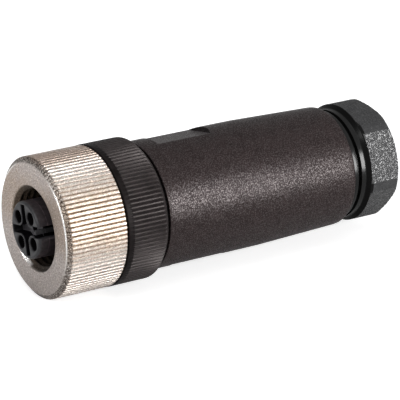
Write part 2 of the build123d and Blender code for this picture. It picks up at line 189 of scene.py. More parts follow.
def insert_plastic():
    """Semi-matt dark grey nylon, with painted shade on the walls of its recess and holes, painted light on
    the recess floor, and a painted highlight on the upper part of its front edge.
    """
    material, tree, shader, place = finish_of("insert_plastic")
    x, radius = station(tree, place)
    turned_back = node(tree, "ShaderNodeVectorRotate", {"Vector": place, "Angle": radians(ROLL)},
                       rotation_type="X_AXIS").outputs[0]
    off_keyway = node(tree, "ShaderNodeSeparateXYZ", {"Vector": turned_back}).outputs["Y"]
    height = node(tree, "ShaderNodeSeparateXYZ", {"Vector": place}).outputs["Z"]
    # the floor of the recess, which gets painted light
    floor = overlap(tree, between(tree, x, 0, 1, RECESS_DEPTH - 0.06, RECESS_DEPTH - 0.02),
                    between(tree, x, 1, 0, RECESS_DEPTH + 0.02, RECESS_DEPTH + 0.06))
    # the walls of the recess and the holes, which get painted shade
    walls = overlap(
        tree, between(tree, x, 0, 1, 0.06, 0.16),
        between(tree, radius, 1, 0, RECESS_REACH - 0.02, RECESS_REACH + 0.12),
        between(tree, off_keyway, 0, 1, (0.04 - KEYWAY_FLOOR_R) * MM, (0.08 - KEYWAY_FLOOR_R) * MM),
        outside(tree, floor))
    # the upper part of the barrel's front edge, which gets a painted highlight
    edge_highlight = overlap(tree, between(tree, x, 1, 0, 0.10, 0.16),
                   between(tree, radius, 0, 1, BARREL_R - 0.08, BARREL_R - 0.03),
                   between(tree, height, 0, 1, -0.5 * MM, 1.5 * MM))
    barrel = overlap(tree, between(tree, x, 0, 1, 0.16, 0.5),
                     between(tree, radius, 0, 1, BARREL_R - 0.15, BARREL_R - 0.05))
    cloud = between(tree, noise(tree, place, 0.5, 3.0), 0, 1)
    colour = blend_colours(tree, cloud, INSERT_DARK, INSERT_LIGHT)
    for mask, shade in ((walls, RECESS_PAINTED_SHADE), (floor, FLOOR_PAINTED_LIGHT), (edge_highlight, EDGE_PAINTED_HIGHLIGHT),
                        (barrel, BARREL_SHADE)):
        colour = shaded(tree, colour, mask, shade)
    tree.links.new(colour, shader.inputs["Base Color"])
    shine = between(tree, walls, INSERT_SHINE, WALL_SHINE, 0, 1)
    tree.links.new(shine, shader.inputs["Specular IOR Level"])
    tree.links.new(between(tree, cloud, 0.36, 0.48, 0, 1), shader.inputs["Roughness"])
    relief(tree, shader, noise(tree, place, INSERT_GRAIN), INSERT_RELIEF)
    return material


def softened(node_name, piece_name, edge, material):
    """A copy of a CAD piece with its sharp edges rounded by edge millimetres."""
    shape = bmesh.new()
    shape.from_mesh(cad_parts[node_name].data)
    bmesh.ops.remove_doubles(shape, verts=shape.verts, dist=SAME_POINT * MM)
    bmesh.ops.dissolve_limit(shape, angle_limit=radians(SAME_PLANE), verts=shape.verts, edges=shape.edges)
    mesh = bpy.data.meshes.new(piece_name)
    shape.to_mesh(mesh)
    shape.free()
    mesh.materials.clear()
    mesh.materials.append(material)
    piece = bpy.data.objects.new(piece_name, mesh)
    bpy.context.scene.collection.objects.link(piece)
    rounding = piece.modifiers.new("edges", "BEVEL")
    rounding.width = edge * MM
    rounding.segments = 2
    rounding.limit_method = "ANGLE"
    rounding.angle_limit = radians(SHARP)
    bake(piece)
    return piece


def bake(piece, smooth_below=SHARP):
    """Puts the result of a piece's modifiers in its mesh and takes them off."""
    evaluated = piece.evaluated_get(bpy.context.evaluated_depsgraph_get())
    mesh = bpy.data.meshes.new_from_object(evaluated)
    piece.modifiers.clear()
    piece.data = mesh
    mesh.shade_smooth()
    mesh.set_sharp_from_angle(angle=radians(smooth_below))


insert = softened("socket_insert", "insert_body", INSERT_EDGE, insert_plastic())
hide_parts("socket_insert")
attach(insert, "carrier")

# Face seal
# A ring of black rubber on the seat at the foot of the barrel. The plug's rim presses
# on it when the coupling nut is tightened, and that keeps water out.
RUBBER_DARK = (0.008, 0.008, 0.009, 1)
RUBBER_LIGHT = (0.020, 0.020, 0.021, 1)


def seal_rubber(name, grain):
    """Matt black rubber with a soft, slightly dusty skin."""
    material, tree, shader, place = finish_of(name, Specular_IOR_Level=0.3)
    cloud = between(tree, noise(tree, place, 0.7), 0, 1)
    tree.links.new(blend_colours(tree, cloud, RUBBER_DARK, RUBBER_LIGHT), shader.inputs["Base Color"])
    tree.links.new(between(tree, cloud, 0.62, 0.78, 0, 1), shader.inputs["Roughness"])
    relief(tree, shader, noise(tree, place, grain), 0.008)
    return material


rubber = seal_rubber("seal_rubber", 0.09)
dress("face_seal", rubber)

# Coupling nut
# Die-cast zinc, nickel-plated, with a straight knurl outside and an M12x1 thread inside.
# It turns freely on the grip ring's neck, and a spring ring in a groove there keeps it on.
NUT_BRIGHT = (0.78, 0.74, 0.70, 1)
# painted shade, darker and warmer, in a strip along the side of the knurl
NUT_PAINTED_STRIP_SHADE = (0.66, 0.57, 0.48, 1)
# painted highlight on one side of the front rim and in a crescent in the mouth
NUT_PAINTED_HIGHLIGHT = (0.98, 0.96, 0.94, 1)
NUT_SMOOTHEST, NUT_ROUGHEST = 0.33, 0.48
HIGHLIGHT_POLISH = 0.18                     # how much smoother the metal is under the painted highlight
NUT_GRAIN = 0.22
NUT_RELIEF = 0.075
NUT_TOP_PAINTED_SHADE = (0.48, 0.41, 0.37, 1)
NUT_BELOW_PAINTED_SHADE = (0.72, 0.70, 0.69, 1)
NUT_FACE_SHADE = (0.76, 0.735, 0.745, 1)
# painted shade in the bore, darker further in
NUT_BORE_PAINTED_SHADE = (0.17, 0.15, 0.13, 1)
NUT_DEEP_PAINTED_SHADE = (0.50, 0.48, 0.46, 1)
# painted shade in the knurl's grooves
NUT_GROOVE_PAINTED_SHADE = (0.50, 0.44, 0.40, 1)
NUT_SPECK_SHADE = (0.58, 0.55, 0.53, 1)
NUT_SPARK_SHADE = (1.6, 1.6, 1.6, 1)
NUT_BEVEL_SHADE = (0.15, 0.13, 0.12, 1)
SHADE_STRIP_HEIGHT = 3.0                       # the middle of the strip of painted shade along the side of the nut
SHADE_STRIP_FADE = (2.0, 6.0)                  # how far from that middle the strip fades out
PAINTED_SHADE_CLOUD = 0.35                       # how much the edges of the painted shade on the strip and on the top vary
TOP_FADE = (9.3, 9.9)                    # heights between which painted shade darkens the top
BELOW_FADE = (-4.5, -2.5)                # the same for the painted shade on the underside
BELOW_ON_FACE = 0.3                      # how much of that painted shade the front face takes
HIGHLIGHT_LOW = (-4.0, 1.0)                 # heights between which the painted highlight on the rim begins
HIGHLIGHT_HIGH = (6.5, 8.5)                 # and between which it ends
CRESCENT_FADE = (1.15, 1.36)             # how the painted highlight in the mouth fades round the bore
NUT_FRONT = 1.20
NUT_REAR = 10.30
NUT_R = 10.0
NUT_RIM_R = 9.20
NUT_BEVEL_END = 1.80
MOUTH_R = 6.15
NUT_BORE_R = 5.46
COLLAR_R = 4.87
RELIEF_R = 5.95
NUT_TEETH = 100
NUT_TOOTH = 0.21
POINTS_PER_TOOTH = 8
WHOLE_TURNS = 1000       # added before a fraction is taken, so that it is never of a negative number
THREAD_FLANK = (0.15, 0.95)              # where a thread's flank begins and ends, in half pitches


def clamped(tree, value):
    """The value held between 0 and 1."""
    return node(tree, "ShaderNodeClamp", {"Value": value}).outputs[0]


def nickel_plate():
    """Dull nickel over die-cast zinc, grainy, with painted shade in a strip along the knurl, on the top,
    underneath, in the knurl's grooves and in the bore, and painted highlights on part of the front rim and
    in a crescent in the mouth.
    """
    material, tree, shader, place = finish_of("nickel_plate", Metallic=1.0)
    x, radius = station(tree, place)
    spot = node(tree, "ShaderNodeSeparateXYZ", {"Vector": place}).outputs
    height = math(tree, "DIVIDE", spot["Z"], MM)
    aside = math(tree, "DIVIDE", math(tree, "SUBTRACT", spot["Y"], spot["Z"]), MM)
    # a strip of painted shade along the nut at one height, with cloudy edges
    cloud = between(tree, noise(tree, place, 1.2, 4.0, 0.6), -PAINTED_SHADE_CLOUD, PAINTED_SHADE_CLOUD)
    off_strip = math(tree, "ABSOLUTE", math(tree, "SUBTRACT", height, SHADE_STRIP_HEIGHT))
    unshaded = clamped(tree, math(tree, "ADD", between(tree, off_strip, 0, 1, *SHADE_STRIP_FADE), cloud))
    # painted shade on the top of the nut
    top = clamped(tree, math(tree, "ADD", between(tree, height, 0, 1, *TOP_FADE), cloud))
    face = between(tree, x, 1, 0, NUT_FRONT + 0.05, NUT_FRONT + 0.15)
    # painted shade on the underside of the nut
    below = overlap(tree, between(tree, height, 1, 0, *BELOW_FADE),
                    between(tree, face, 1, BELOW_ON_FACE, 0, 1))
    bevel = overlap(tree, between(tree, x, 1, 0, NUT_BEVEL_END - 0.10, NUT_BEVEL_END + 0.15),
                    between(tree, radius, 0, 1, NUT_RIM_R + 0.05, NUT_RIM_R + 0.15))
    # one side of the front rim, which gets a painted highlight
    rim = overlap(
        tree, between(tree, x, 1, 0, NUT_FRONT + 0.06, NUT_FRONT + 0.14),
        between(tree, radius, 0, 1, NUT_RIM_R - 0.12, NUT_RIM_R - 0.06),
        overlap(tree, between(tree, height, 0, 1, *HIGHLIGHT_LOW), between(tree, height, 1, 0, *HIGHLIGHT_HIGH)))
    # a crescent in the mouth, which gets a painted highlight instead of the bore's painted shade
    crescent = overlap(
        tree, between(tree, math(tree, "DIVIDE", aside, radius), 0, 1, *CRESCENT_FADE),
        between(tree, x, 1, 0, NUT_FRONT + 0.40, NUT_FRONT + 0.65),
        between(tree, radius, 1, 0, MOUTH_R - 0.13, MOUTH_R - 0.03),
        between(tree, radius, 0, 1, NUT_BORE_R + 0.16, NUT_BORE_R + 0.26))
    painted_highlight = math(tree, "MAXIMUM", rim, crescent)
    # painted shade in the bore and the mouth, except in the crescent
    bore = overlap(tree, between(tree, radius, 1, 0, MOUTH_R - 0.19, MOUTH_R - 0.03),
                   outside(tree, crescent))
    deep = overlap(tree, bore, between(tree, x, 0, 1, NUT_FRONT + 0.5, NUT_FRONT + 1.8))
    # the knurl's grooves, which get painted shade
    groove = overlap(tree, node(tree, "ShaderNodeAttribute", attribute_name="groove").outputs["Fac"],
                     between(tree, radius, 0, 1, NUT_RIM_R, NUT_RIM_R + 0.5))
    speck = between(tree, noise(tree, place, 0.24, 3.0, 0.8), 0, 1, 0.40, 0.60)
    spark = between(tree, noise(tree, place, 0.30, 1.0, 0.5), 0, 1, 0.64, 0.68)
    pit = between(tree, noise(tree, place, 0.17, 2.0, 0.6), 0.15, 1, 0.42, 0.56)
    colour = blend_colours(tree, unshaded, NUT_PAINTED_STRIP_SHADE, NUT_BRIGHT)
    for mask, shade in (
            (top, NUT_TOP_PAINTED_SHADE), (below, NUT_BELOW_PAINTED_SHADE), (face, NUT_FACE_SHADE), (bore, NUT_BORE_PAINTED_SHADE),
            (deep, NUT_DEEP_PAINTED_SHADE), (groove, NUT_GROOVE_PAINTED_SHADE), (speck, NUT_SPECK_SHADE),
            (spark, NUT_SPARK_SHADE), (overlap(tree, bevel, pit), NUT_BEVEL_SHADE)):
        colour = shaded(tree, colour, mask, shade)
    tree.links.new(blend_colours(tree, painted_highlight, colour, NUT_PAINTED_HIGHLIGHT), shader.inputs["Base Color"])
    rough = between(tree, speck, NUT_SMOOTHEST, NUT_ROUGHEST, 0, 1)
    rough = math(tree, "SUBTRACT", rough, math(tree, "MULTIPLY", painted_highlight, HIGHLIGHT_POLISH))
    tree.links.new(rough, shader.inputs["Roughness"])
    relief(tree, shader, noise(tree, place, NUT_GRAIN, 4.0, 0.7), NUT_RELIEF)
    return material


def rounded(before, corner, after, size, steps=4):
    """Points of a curve that rounds one corner of an outline."""
    corner, before, after = Vector(corner), Vector(before), Vector(after)
    one, two = (before - corner).normalized(), (after - corner).normalized()
    start = corner + one * min(size, (before - corner).length / 2)
    end = corner + two * min(size, (after - corner).length / 2)
    shares = [step / steps for step in range(steps + 1)]
    return [(1 - t) ** 2 * start + 2 * t * (1 - t) * corner + t * t * end for t in shares]


def outline(name, corners):
    """A closed outline to turn. A corner is (x, radius, rounding, row spacing on the way to it)."""
    points = []
    for index, corner in enumerate(corners):
        x, radius, rounding, spacing = (*corner, 0, 0)[:4]
        before, after = corners[index - 1][:2], corners[(index + 1) % len(corners)][:2]
        curve = rounded(before, (x, radius), after, rounding) if rounding else [Vector((x, radius))]
        if spacing:
            edge = curve[0] - points[-1]
            rows = round(edge.length / spacing)
            points += [points[-1] + edge / rows * row for row in range(1, rows)]
        points += curve
    mesh = bpy.data.meshes.new(name)
    count = len(points)
    mesh.from_pydata([(*(p * MM), 0) for p in points], [(i, (i + 1) % count) for i in range(count)], [])
    piece = bpy.data.objects.new(name, mesh)
    bpy.context.scene.collection.objects.link(piece)
    return piece


def operation(name, **inputs):
    """A new geometry tree with a mesh going in and out: (tree, its inputs)."""
    tree = bpy.data.node_groups.new(name, "GeometryNodeTree")
    tree.interface.new_socket("Geometry", in_out="OUTPUT", socket_type="NodeSocketGeometry")
    tree.interface.new_socket("Geometry", in_out="INPUT", socket_type="NodeSocketGeometry")
    for label, kind in inputs.items():
        tree.interface.new_socket(label.replace("_", " "), in_out="INPUT", socket_type="NodeSocket" + kind)
    return tree, tree.nodes.new("NodeGroupInput").outputs


def close(tree, given, geometry):
    """Ends a tree: instances become real faces, and the piece gets its material."""
    real = node(tree, "GeometryNodeRealizeInstances", {"Geometry": geometry}).outputs[0]
    painted = node(tree, "GeometryNodeSetMaterial", {"Geometry": real, "Material": given["Material"]})
    node(tree, "NodeGroupOutput", {"Geometry": painted.outputs[0]})
    return tree


def on_axis(tree, geometry, x, radius, angle):
    """Sets points by station and radius in millimetres and by angle, from -Y towards +Z."""
    side = math(tree, "MULTIPLY", math(tree, "MULTIPLY", radius, math(tree, "COSINE", angle)), -MM)
    up = math(tree, "MULTIPLY", math(tree, "MULTIPLY", radius, math(tree, "SINE", angle)), MM)
    spot = node(tree, "ShaderNodeCombineXYZ", {"X": math(tree, "MULTIPLY", x, MM), "Y": side, "Z": up})
    moved = node(tree, "GeometryNodeSetPosition", {"Geometry": geometry, "Position": spot.outputs[0]})
    return moved.outputs[0]


def around_axis(tree):
    """Station, radius and angle of each point, as on_axis takes them."""
    place = node(tree, "GeometryNodeInputPosition").outputs[0]
    spot = node(tree, "ShaderNodeSeparateXYZ", {"Vector": place}).outputs
    side = math(tree, "MULTIPLY", spot["Y"], -1)
    square = math(tree, "ADD", math(tree, "POWER", side, 2), math(tree, "POWER", spot["Z"], 2))
    radius = math(tree, "DIVIDE", math(tree, "SQRT", square), MM)
    return math(tree, "DIVIDE", spot["X"], MM), radius, math(tree, "ARCTAN2", spot["Z"], side)


def turning_tree():
    """Turns an outline of (x, radius) points into a closed ring about the X axis."""
    tree, given = operation("turning", Segments="Int", Material="Material")
    profile = node(tree, "GeometryNodeMeshToCurve", {"Mesh": given["Geometry"]}).outputs[0]
    point = node(tree, "GeometryNodeCaptureAttribute", {"Geometry": profile})
    point.capture_items.new("VECTOR", "outline point")
    tree.links.new(node(tree, "GeometryNodeInputPosition").outputs[0], point.inputs[1])
    circle = node(tree, "GeometryNodeCurvePrimitiveCircle", {"Resolution": given["Segments"]}).outputs[0]
    turn = node(tree, "GeometryNodeCaptureAttribute", {"Geometry": circle})
    turn.capture_items.new("FLOAT", "step")
    tree.links.new(node(tree, "GeometryNodeInputIndex").outputs[0], turn.inputs[1])
    surface = node(tree, "GeometryNodeCurveToMesh", {
        "Curve": turn.outputs[0], "Profile Curve": point.outputs[0]}).outputs[0]
    angle = math(tree, "MULTIPLY", math(tree, "DIVIDE", turn.outputs[1], given["Segments"]), 2 * pi)
    spot = node(tree, "ShaderNodeSeparateXYZ", {"Vector": point.outputs[1]}).outputs
    x, radius = (math(tree, "DIVIDE", spot[axis], MM) for axis in "XY")
    return close(tree, given, on_axis(tree, surface, x, radius, angle))


def repeats(tree, angle, count):
    """Where a point stands between two of the features that repeat around the axis, from 0 to 1."""
    turns = math(tree, "MULTIPLY", math(tree, "DIVIDE", angle, 2 * pi), count)
    return math(tree, "FRACT", math(tree, "ADD", turns, WHOLE_TURNS))


def from_middle(tree, part):
    """How far a part from 0 to 1 is from its middle: 0 there, and 1 at both ends."""
    return math(tree, "MULTIPLY", math(tree, "ABSOLUTE", math(tree, "SUBTRACT", part, 0.5)), 2)


def window(tree, x, given):
    """1 between the stations Front and Rear and 0 outside them, with a slope inside each end."""
    rise = math(tree, "DIVIDE", math(tree, "SUBTRACT", x, given["Front"]), given["Run out"])
    fall = math(tree, "DIVIDE", math(tree, "SUBTRACT", given["Rear"], x), given["Run out"])
    return clamped(tree, math(tree, "MINIMUM", rise, fall))


def cut_to(tree, given, x, radius, angle, cut, inside):
    """Ends a tree that moves points from their radius to the cut's, where inside is 1."""
    change = math(tree, "MULTIPLY", math(tree, "SUBTRACT", cut, radius), inside)
    return close(tree, given, on_axis(tree, given["Geometry"], x, math(tree, "ADD", radius, change), angle))


def knurl_tree():
    """Straight knurl: rounded grooves along the axis, pressed into a turned blank."""
    tree, given = operation("straight knurl", Teeth="Int", Crest_radius="Float", Groove_depth="Float",
                            Land="Float", Front="Float", Rear="Float", Run_out="Float", Material="Material")
    x, radius, angle = around_axis(tree)
    from_crest = from_middle(tree, repeats(tree, angle, given["Teeth"]))
    flank = node(tree, "ShaderNodeMapRange", {"Value": from_crest, "From Min": given["Land"]},
                 interpolation_type="SMOOTHSTEP").outputs[0]
    groove = math(tree, "MULTIPLY", flank, window(tree, x, given))
    depth = math(tree, "MULTIPLY", groove, given["Groove depth"])
    floor = math(tree, "SUBTRACT", given["Crest radius"], depth)
    cut = on_axis(tree, given["Geometry"], x, math(tree, "MINIMUM", radius, floor), angle)
    marked = node(tree, "GeometryNodeStoreNamedAttribute", {
        "Geometry": cut, "Name": "groove", "Value": groove}, data_type="FLOAT", domain="POINT")
    return close(tree, given, marked.outputs[0])


def thread_tree():
    """Right-hand screw thread of V shape. Side is 1 for one cut in a bore, -1 for one on a rod."""
    tree, given = operation("screw thread", Side="Float", Surface_radius="Float", Depth="Float",
                            Pitch="Float", Front="Float", Rear="Float", Run_out="Float", Material="Material")
    x, radius, angle = around_axis(tree)
    along = math(tree, "DIVIDE", x, given["Pitch"])
    turns = math(tree, "SUBTRACT", along, repeats(tree, angle, 1))
    from_crest = from_middle(tree, math(tree, "FRACT", math(tree, "ADD", turns, WHOLE_TURNS)))
    groove = between(tree, from_crest, 0, 1, *THREAD_FLANK)
    depth = math(tree, "MULTIPLY", groove, given["Depth"])
    depth = math(tree, "MULTIPLY", depth, window(tree, x, given))
    side = given["Side"]
    wall = math(tree, "ADD", math(tree, "MULTIPLY", side, given["Surface radius"]), depth)
    cut = math(tree, "MULTIPLY", side, math(tree, "MAXIMUM", math(tree, "MULTIPLY", side, radius), wall))
    inside = math(tree, "MULTIPLY", math(tree, "GREATER_THAN", x, given["Front"]),
                  math(tree, "LESS_THAN", x, given["Rear"]))
    return cut_to(tree, given, x, radius, angle, cut, inside)


def machined(piece, tree, **values):
    """Adds one machining step to a piece, with the step's inputs set by name."""
    step = piece.modifiers.new(tree.name, "NODES")
    step.node_group = tree
    sockets = {s.name: s.identifier for s in tree.interface.items_tree if s.in_out == "INPUT"}
    for name, value in values.items():
        step[sockets[name.replace("_", " ")]] = value


def fitted(piece, node_name, body, smooth_below=SHARP):
    """Bakes a finished piece and puts it in the place of its CAD node."""
    bake(piece, smooth_below)
    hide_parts(node_name)
    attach(piece, body)


turning, knurling, threading = turning_tree(), knurl_tree(), thread_tree()
nickel = nickel_plate()
nut = outline("nut_body", [
    (NUT_FRONT, MOUTH_R, 0.10), (NUT_FRONT, NUT_RIM_R, 0.06), (NUT_BEVEL_END, NUT_R, 0.10),
    (NUT_REAR - 0.06, NUT_R, 0.03), (NUT_REAR, NUT_R - 0.06, 0.03), (NUT_REAR, COLLAR_R, 0.10),
    (8.98, COLLAR_R), (8.98, RELIEF_R), (7.20, RELIEF_R), (6.80, NUT_BORE_R), (1.89, NUT_BORE_R, 0, 0.11)])
machined(nut, turning, Segments=NUT_TEETH * POINTS_PER_TOOTH, Material=nickel)
machined(nut, knurling, Teeth=NUT_TEETH, Crest_radius=NUT_R, Groove_depth=NUT_TOOTH, Land=0.46,
         Front=NUT_FRONT, Rear=NUT_REAR, Run_out=0.01, Material=nickel)
machined(nut, threading, Side=1.0, Surface_radius=NUT_BORE_R, Depth=0.50, Pitch=1.0, Front=1.25, Rear=6.9,
         Run_out=0.3, Material=nickel)
fitted(nut, "coupling_nut", "nut")

# Spring ring
# An open ring of bright spring steel, snapped into the groove of the neck. It holds the
# nut's inner collar, so the nut turns but can't come off.
STEEL_BRIGHT = (0.58, 0.58, 0.59, 1)
STEEL_DULL = (0.40, 0.40, 0.41, 1)


def bright_steel(name, roughness):
    """Drawn or turned steel: fine scratches and a cloudy shine."""
    material, tree, shader, place = finish_of(name, Metallic=1.0)
    cloud = between(tree, noise(tree, place, 0.5, 3.0), 0, 1)
    tree.links.new(blend_colours(tree, cloud, STEEL_DULL, STEEL_BRIGHT), shader.inputs["Base Color"])
    tree.links.new(between(tree, cloud, roughness + 0.10, roughness, 0, 1), shader.inputs["Roughness"])
    relief(tree, shader, noise(tree, place, 0.05), 0.003)
    return material


spring = bright_steel("spring_steel", 0.24)
dress("nut_retaining_ring", spring)

# Terminal block
# Black nylon, moulded round four pockets. The terminals stand in it in a ring, with their
# screws facing outwards and the wire openings facing the cable.
BLOCK_DARK = (0.020, 0.021, 0.024, 1)
BLOCK_LIGHT = (0.036, 0.038, 0.042, 1)


def smooth_plastic(name, dark, light, shine, smoothest=0.36, roughest=0.46):
    """Injection-moulded plastic with a smooth, faintly uneven skin."""
    material, tree, shader, place = finish_of(name, Specular_IOR_Level=shine)
    cloud = between(tree, noise(tree, place, 1.1, 3.0), 0, 1)
    tree.links.new(blend_colours(tree, cloud, dark, light), shader.inputs["Base Color"])
    tree.links.new(between(tree, cloud, smoothest, roughest, 0, 1), shader.inputs["Roughness"])
    relief(tree, shader, noise(tree, place, 0.14), 0.006)
    return material


dress("terminal_block", smooth_plastic("terminal_plastic", BLOCK_DARK, BLOCK_LIGHT, shine=0.35))

# Terminal screws and wire guards
# Slotted M2 screws of nickel-plated steel. Each presses on a bent leaf, which spreads the
# screw's load so that the tip doesn't cut the strands of the wire.
screw_finish = bright_steel("screw_steel", 0.20)
for number in range(1, CONTACTS + 1):
    dress(f"terminal_screw_{number}", screw_finish)
    dress(f"wire_guard_{number}", spring)

# Grip ring
# Black nylon, moulded with a straight knurl. It carries the insert in its neck, and the
# housing screws on the threaded spigot behind it.
RING_DARK = (0.010, 0.008, 0.008, 1)
RING_LIGHT = (0.022, 0.018, 0.018, 1)
RING_TINT = (1.0, 0.90, 0.88, 1)
RING_SHINE = 0.20
# painted shade on the neck and the smooth band beside the nut
BAND_PAINTED_SHADE = (0.3, 0.3, 0.3, 1)
BAND_SHARE = 0.25        # how much of its shine the ring keeps in front of the knurl, under the painted shade
NECK_FRONT = 8.20
NECK_R = 4.75
NECK_BORE_R = 4.05
SPRING_GROOVE_R = 4.50
RING_FRONT = 10.50
KNURL_FRONT = 11.35
RING_REAR = 17.12
RING_R = 10.05
RING_TEETH = 102
RING_TOOTH = 0.27
CAVITY_FRONT = 12.20
CAVITY_R = 6.95
SPIGOT_END = 24.20
SPIGOT_R = 7.75


def ring_plastic():
    """Black nylon, with painted shade, dull and darker, on the neck and on the smooth band beside the nut.
    """
    material = smooth_plastic("grip_plastic", RING_DARK, RING_LIGHT, RING_SHINE)
    tree, shader, place = opened(material)
    shader.inputs["Specular Tint"].default_value = RING_TINT
    x = station(tree, place)[0]
    share = between(tree, x, BAND_SHARE, 1, KNURL_FRONT + 0.03, KNURL_FRONT + 0.15)
    tree.links.new(math(tree, "MULTIPLY", share, RING_SHINE), shader.inputs["Specular IOR Level"])
    colour = shaded(tree, joined_to(shader, "Base Color"), outside(tree, share), BAND_PAINTED_SHADE)
    tree.links.new(colour, shader.inputs["Base Color"])
    return material


grip_plastic = ring_plastic()
grip = outline("grip_body", [
    (NECK_FRONT, NECK_BORE_R), (NECK_FRONT, NECK_R), (8.35, NECK_R), (8.35, SPRING_GROOVE_R),
    (8.80, SPRING_GROOVE_R), (8.80, NECK_R), (RING_FRONT, NECK_R), (RING_FRONT, RING_R, 0.15),
    (KNURL_FRONT, RING_R), (KNURL_FRONT + 0.08, RING_R), (16.50, RING_R, 0.20), (RING_REAR, 9.38, 0.10),
    (RING_REAR, SPIGOT_R), (18.10, SPIGOT_R), (23.90, SPIGOT_R, 0, 0.11), (SPIGOT_END, 7.45),
    (SPIGOT_END, CAVITY_R), (CAVITY_FRONT, CAVITY_R), (CAVITY_FRONT, NECK_BORE_R)])
machined(grip, turning, Segments=RING_TEETH * POINTS_PER_TOOTH, Material=grip_plastic)
machined(grip, knurling, Teeth=RING_TEETH, Crest_radius=RING_R, Groove_depth=RING_TOOTH, Land=0.25,
         Front=KNURL_FRONT, Rear=17.2, Run_out=0.08, Material=grip_plastic)
machined(grip, threading, Side=-1.0, Surface_radius=SPIGOT_R, Depth=0.55, Pitch=1.0, Front=18.1, Rear=24.3,
         Run_out=0.5, Material=grip_plastic)
fitted(grip, "grip_ring", "carrier")

# Housing ring
# The rubber ring that is squeezed between the grip ring and the sleeve when the sleeve is
# screwed home. From outside it is a black line in the joint.
dress("housing_o_ring", rubber)

# Housing sleeve
# The handle of the connector, moulded in dark nylon with a spark-eroded skin. It has an
# inside thread at each end and two flats for a spanner near the front.
SLEEVE_DARK = (0.012, 0.008, 0.008, 1)
SLEEVE_LIGHT = (0.019, 0.013, 0.013, 1)
SLEEVE_TINT = (1.0, 0.90, 0.89, 1)
SLEEVE_GRAIN = 0.15
# painted shade on the slope behind each flat
SLOPE_PAINTED_SHADE = (0.4, 0.4, 0.4, 1)
SLOPE_SHARE = 0.1        # how much of its shine the sleeve keeps on the slope behind a flat, under the painted shade
SLEEVE_FRONT = 17.65
SLEEVE_REAR = 49.15
SLEEVE_R = 9.12
SEAL_STEP_END = 18.30
SEAL_STEP_R = 8.65
FRONT_THREAD_R = 7.80
CHAMBER_FRONT = 24.90
CHAMBER_R = 7.40
WEB_FRONT = 34.00
WEB_REAR = 35.00
WEB_HOLE_R = 4.20
SEAT_REAR = 41.50
SEAT_R = 6.40
REAR_THREAD_R = 7.25
TAPER_START = 35.20
FLAT_DISTANCE = 8.58
FLAT_FRONT = 20.45
FLAT_REAR = 29.90
FLAT_RUNOUT = 0.80
ROUND_STEPS = 360        # points round a piece without a knurl
SOFT_EDGE = 14           # edges above this angle, in degrees, stay sharp on pieces with flats


def eroded_plastic(name, dark, light, shine, grain, depth, sparkle, polish):
    """Plastic moulded against a spark-eroded wall: coarse matt grain that sparkles in the light.

    The skin's grains are grain millimetres wide and depth deep. The highest have sparkle
    times the shine, and their roughness is polish.
    """
    material, tree, shader, place = finish_of(name)
    cloud = between(tree, noise(tree, place, 1.4, 3.0), 0, 1)
    tree.links.new(blend_colours(tree, cloud, dark, light), shader.inputs["Base Color"])
    skin = noise(tree, place, grain, 1.0, 0.8)
    glint = between(tree, skin, 0.8 * shine, sparkle * shine, 0.51, 0.62)
    tree.links.new(glint, shader.inputs["Specular IOR Level"])
    tree.links.new(between(tree, skin, 0.50, polish, 0.42, 0.62), shader.inputs["Roughness"])
    relief(tree, shader, skin, depth)
    return material


def sleeve_skin():
    """Spark-eroded dark nylon, with painted shade, dull and darker, on the slopes behind the flats."""
    material = eroded_plastic("sleeve_plastic", SLEEVE_DARK, SLEEVE_LIGHT, shine=0.12, grain=SLEEVE_GRAIN,
                              depth=0.024, sparkle=5.2, polish=0.34)
    tree, shader, place = opened(material)
    shader.inputs["Specular Tint"].default_value = SLEEVE_TINT
    x, radius = station(tree, place)
    slope_front = FLAT_REAR - FLAT_RUNOUT
    slope = overlap(tree, between(tree, x, 0, 1, slope_front - 0.05, slope_front + 0.05),
                    between(tree, radius, 1, 0, SLEEVE_R - 0.08, SLEEVE_R - 0.02),
                    between(tree, x, 1, 0, FLAT_REAR, FLAT_REAR + 0.1))
    colour = shaded(tree, joined_to(shader, "Base Color"), slope, SLOPE_PAINTED_SHADE)
    tree.links.new(colour, shader.inputs["Base Color"])
    share = between(tree, slope, 1, SLOPE_SHARE, 0, 1)
    shine = math(tree, "MULTIPLY", joined_to(shader, "Specular IOR Level"), share)
    tree.links.new(shine, shader.inputs["Specular IOR Level"])
    return material


def flats_tree():
    """Flats around a round body, with a cone at their front end and a slope at their rear end."""
    tree, given = operation("flats", Count="Int", Turn="Float", Distance="Float", Body_radius="Float",
                            Front="Float", Cone="Float", Rear="Float", Slope="Float", Material="Material")
    x, radius, angle = around_axis(tree)
    turned_back = math(tree, "SUBTRACT", angle, math(tree, "MULTIPLY", given["Turn"], pi / 180))
    half_step = math(tree, "DIVIDE", pi, given["Count"])
    part = repeats(tree, math(tree, "ADD", turned_back, half_step), given["Count"])
    off = math(tree, "DIVIDE", math(tree, "SUBTRACT", part, 0.5), given["Count"])
    off = math(tree, "MULTIPLY", off, 2 * pi)
    rise = math(tree, "SUBTRACT", given["Body radius"], given["Distance"])
    past = math(tree, "SUBTRACT", x, math(tree, "SUBTRACT", given["Rear"], given["Slope"]))
    climbed = math(tree, "DIVIDE", math(tree, "MAXIMUM", past, 0), given["Slope"])
    height = math(tree, "ADD", given["Distance"], math(tree, "MULTIPLY", rise, climbed))
    flat = math(tree, "DIVIDE", height, math(tree, "MAXIMUM", math(tree, "COSINE", off), 0.1))
    before = math(tree, "SUBTRACT", math(tree, "ADD", given["Front"], given["Cone"]), x)
    share = math(tree, "DIVIDE", before, given["Cone"])
    cone = math(tree, "ADD", given["Distance"], math(tree, "MULTIPLY", rise, share))
    cut = math(tree, "MINIMUM", radius, math(tree, "MAXIMUM", flat, cone))
    inside = math(tree, "GREATER_THAN", x, given["Front"])
    return cut_to(tree, given, x, radius, angle, cut, inside)


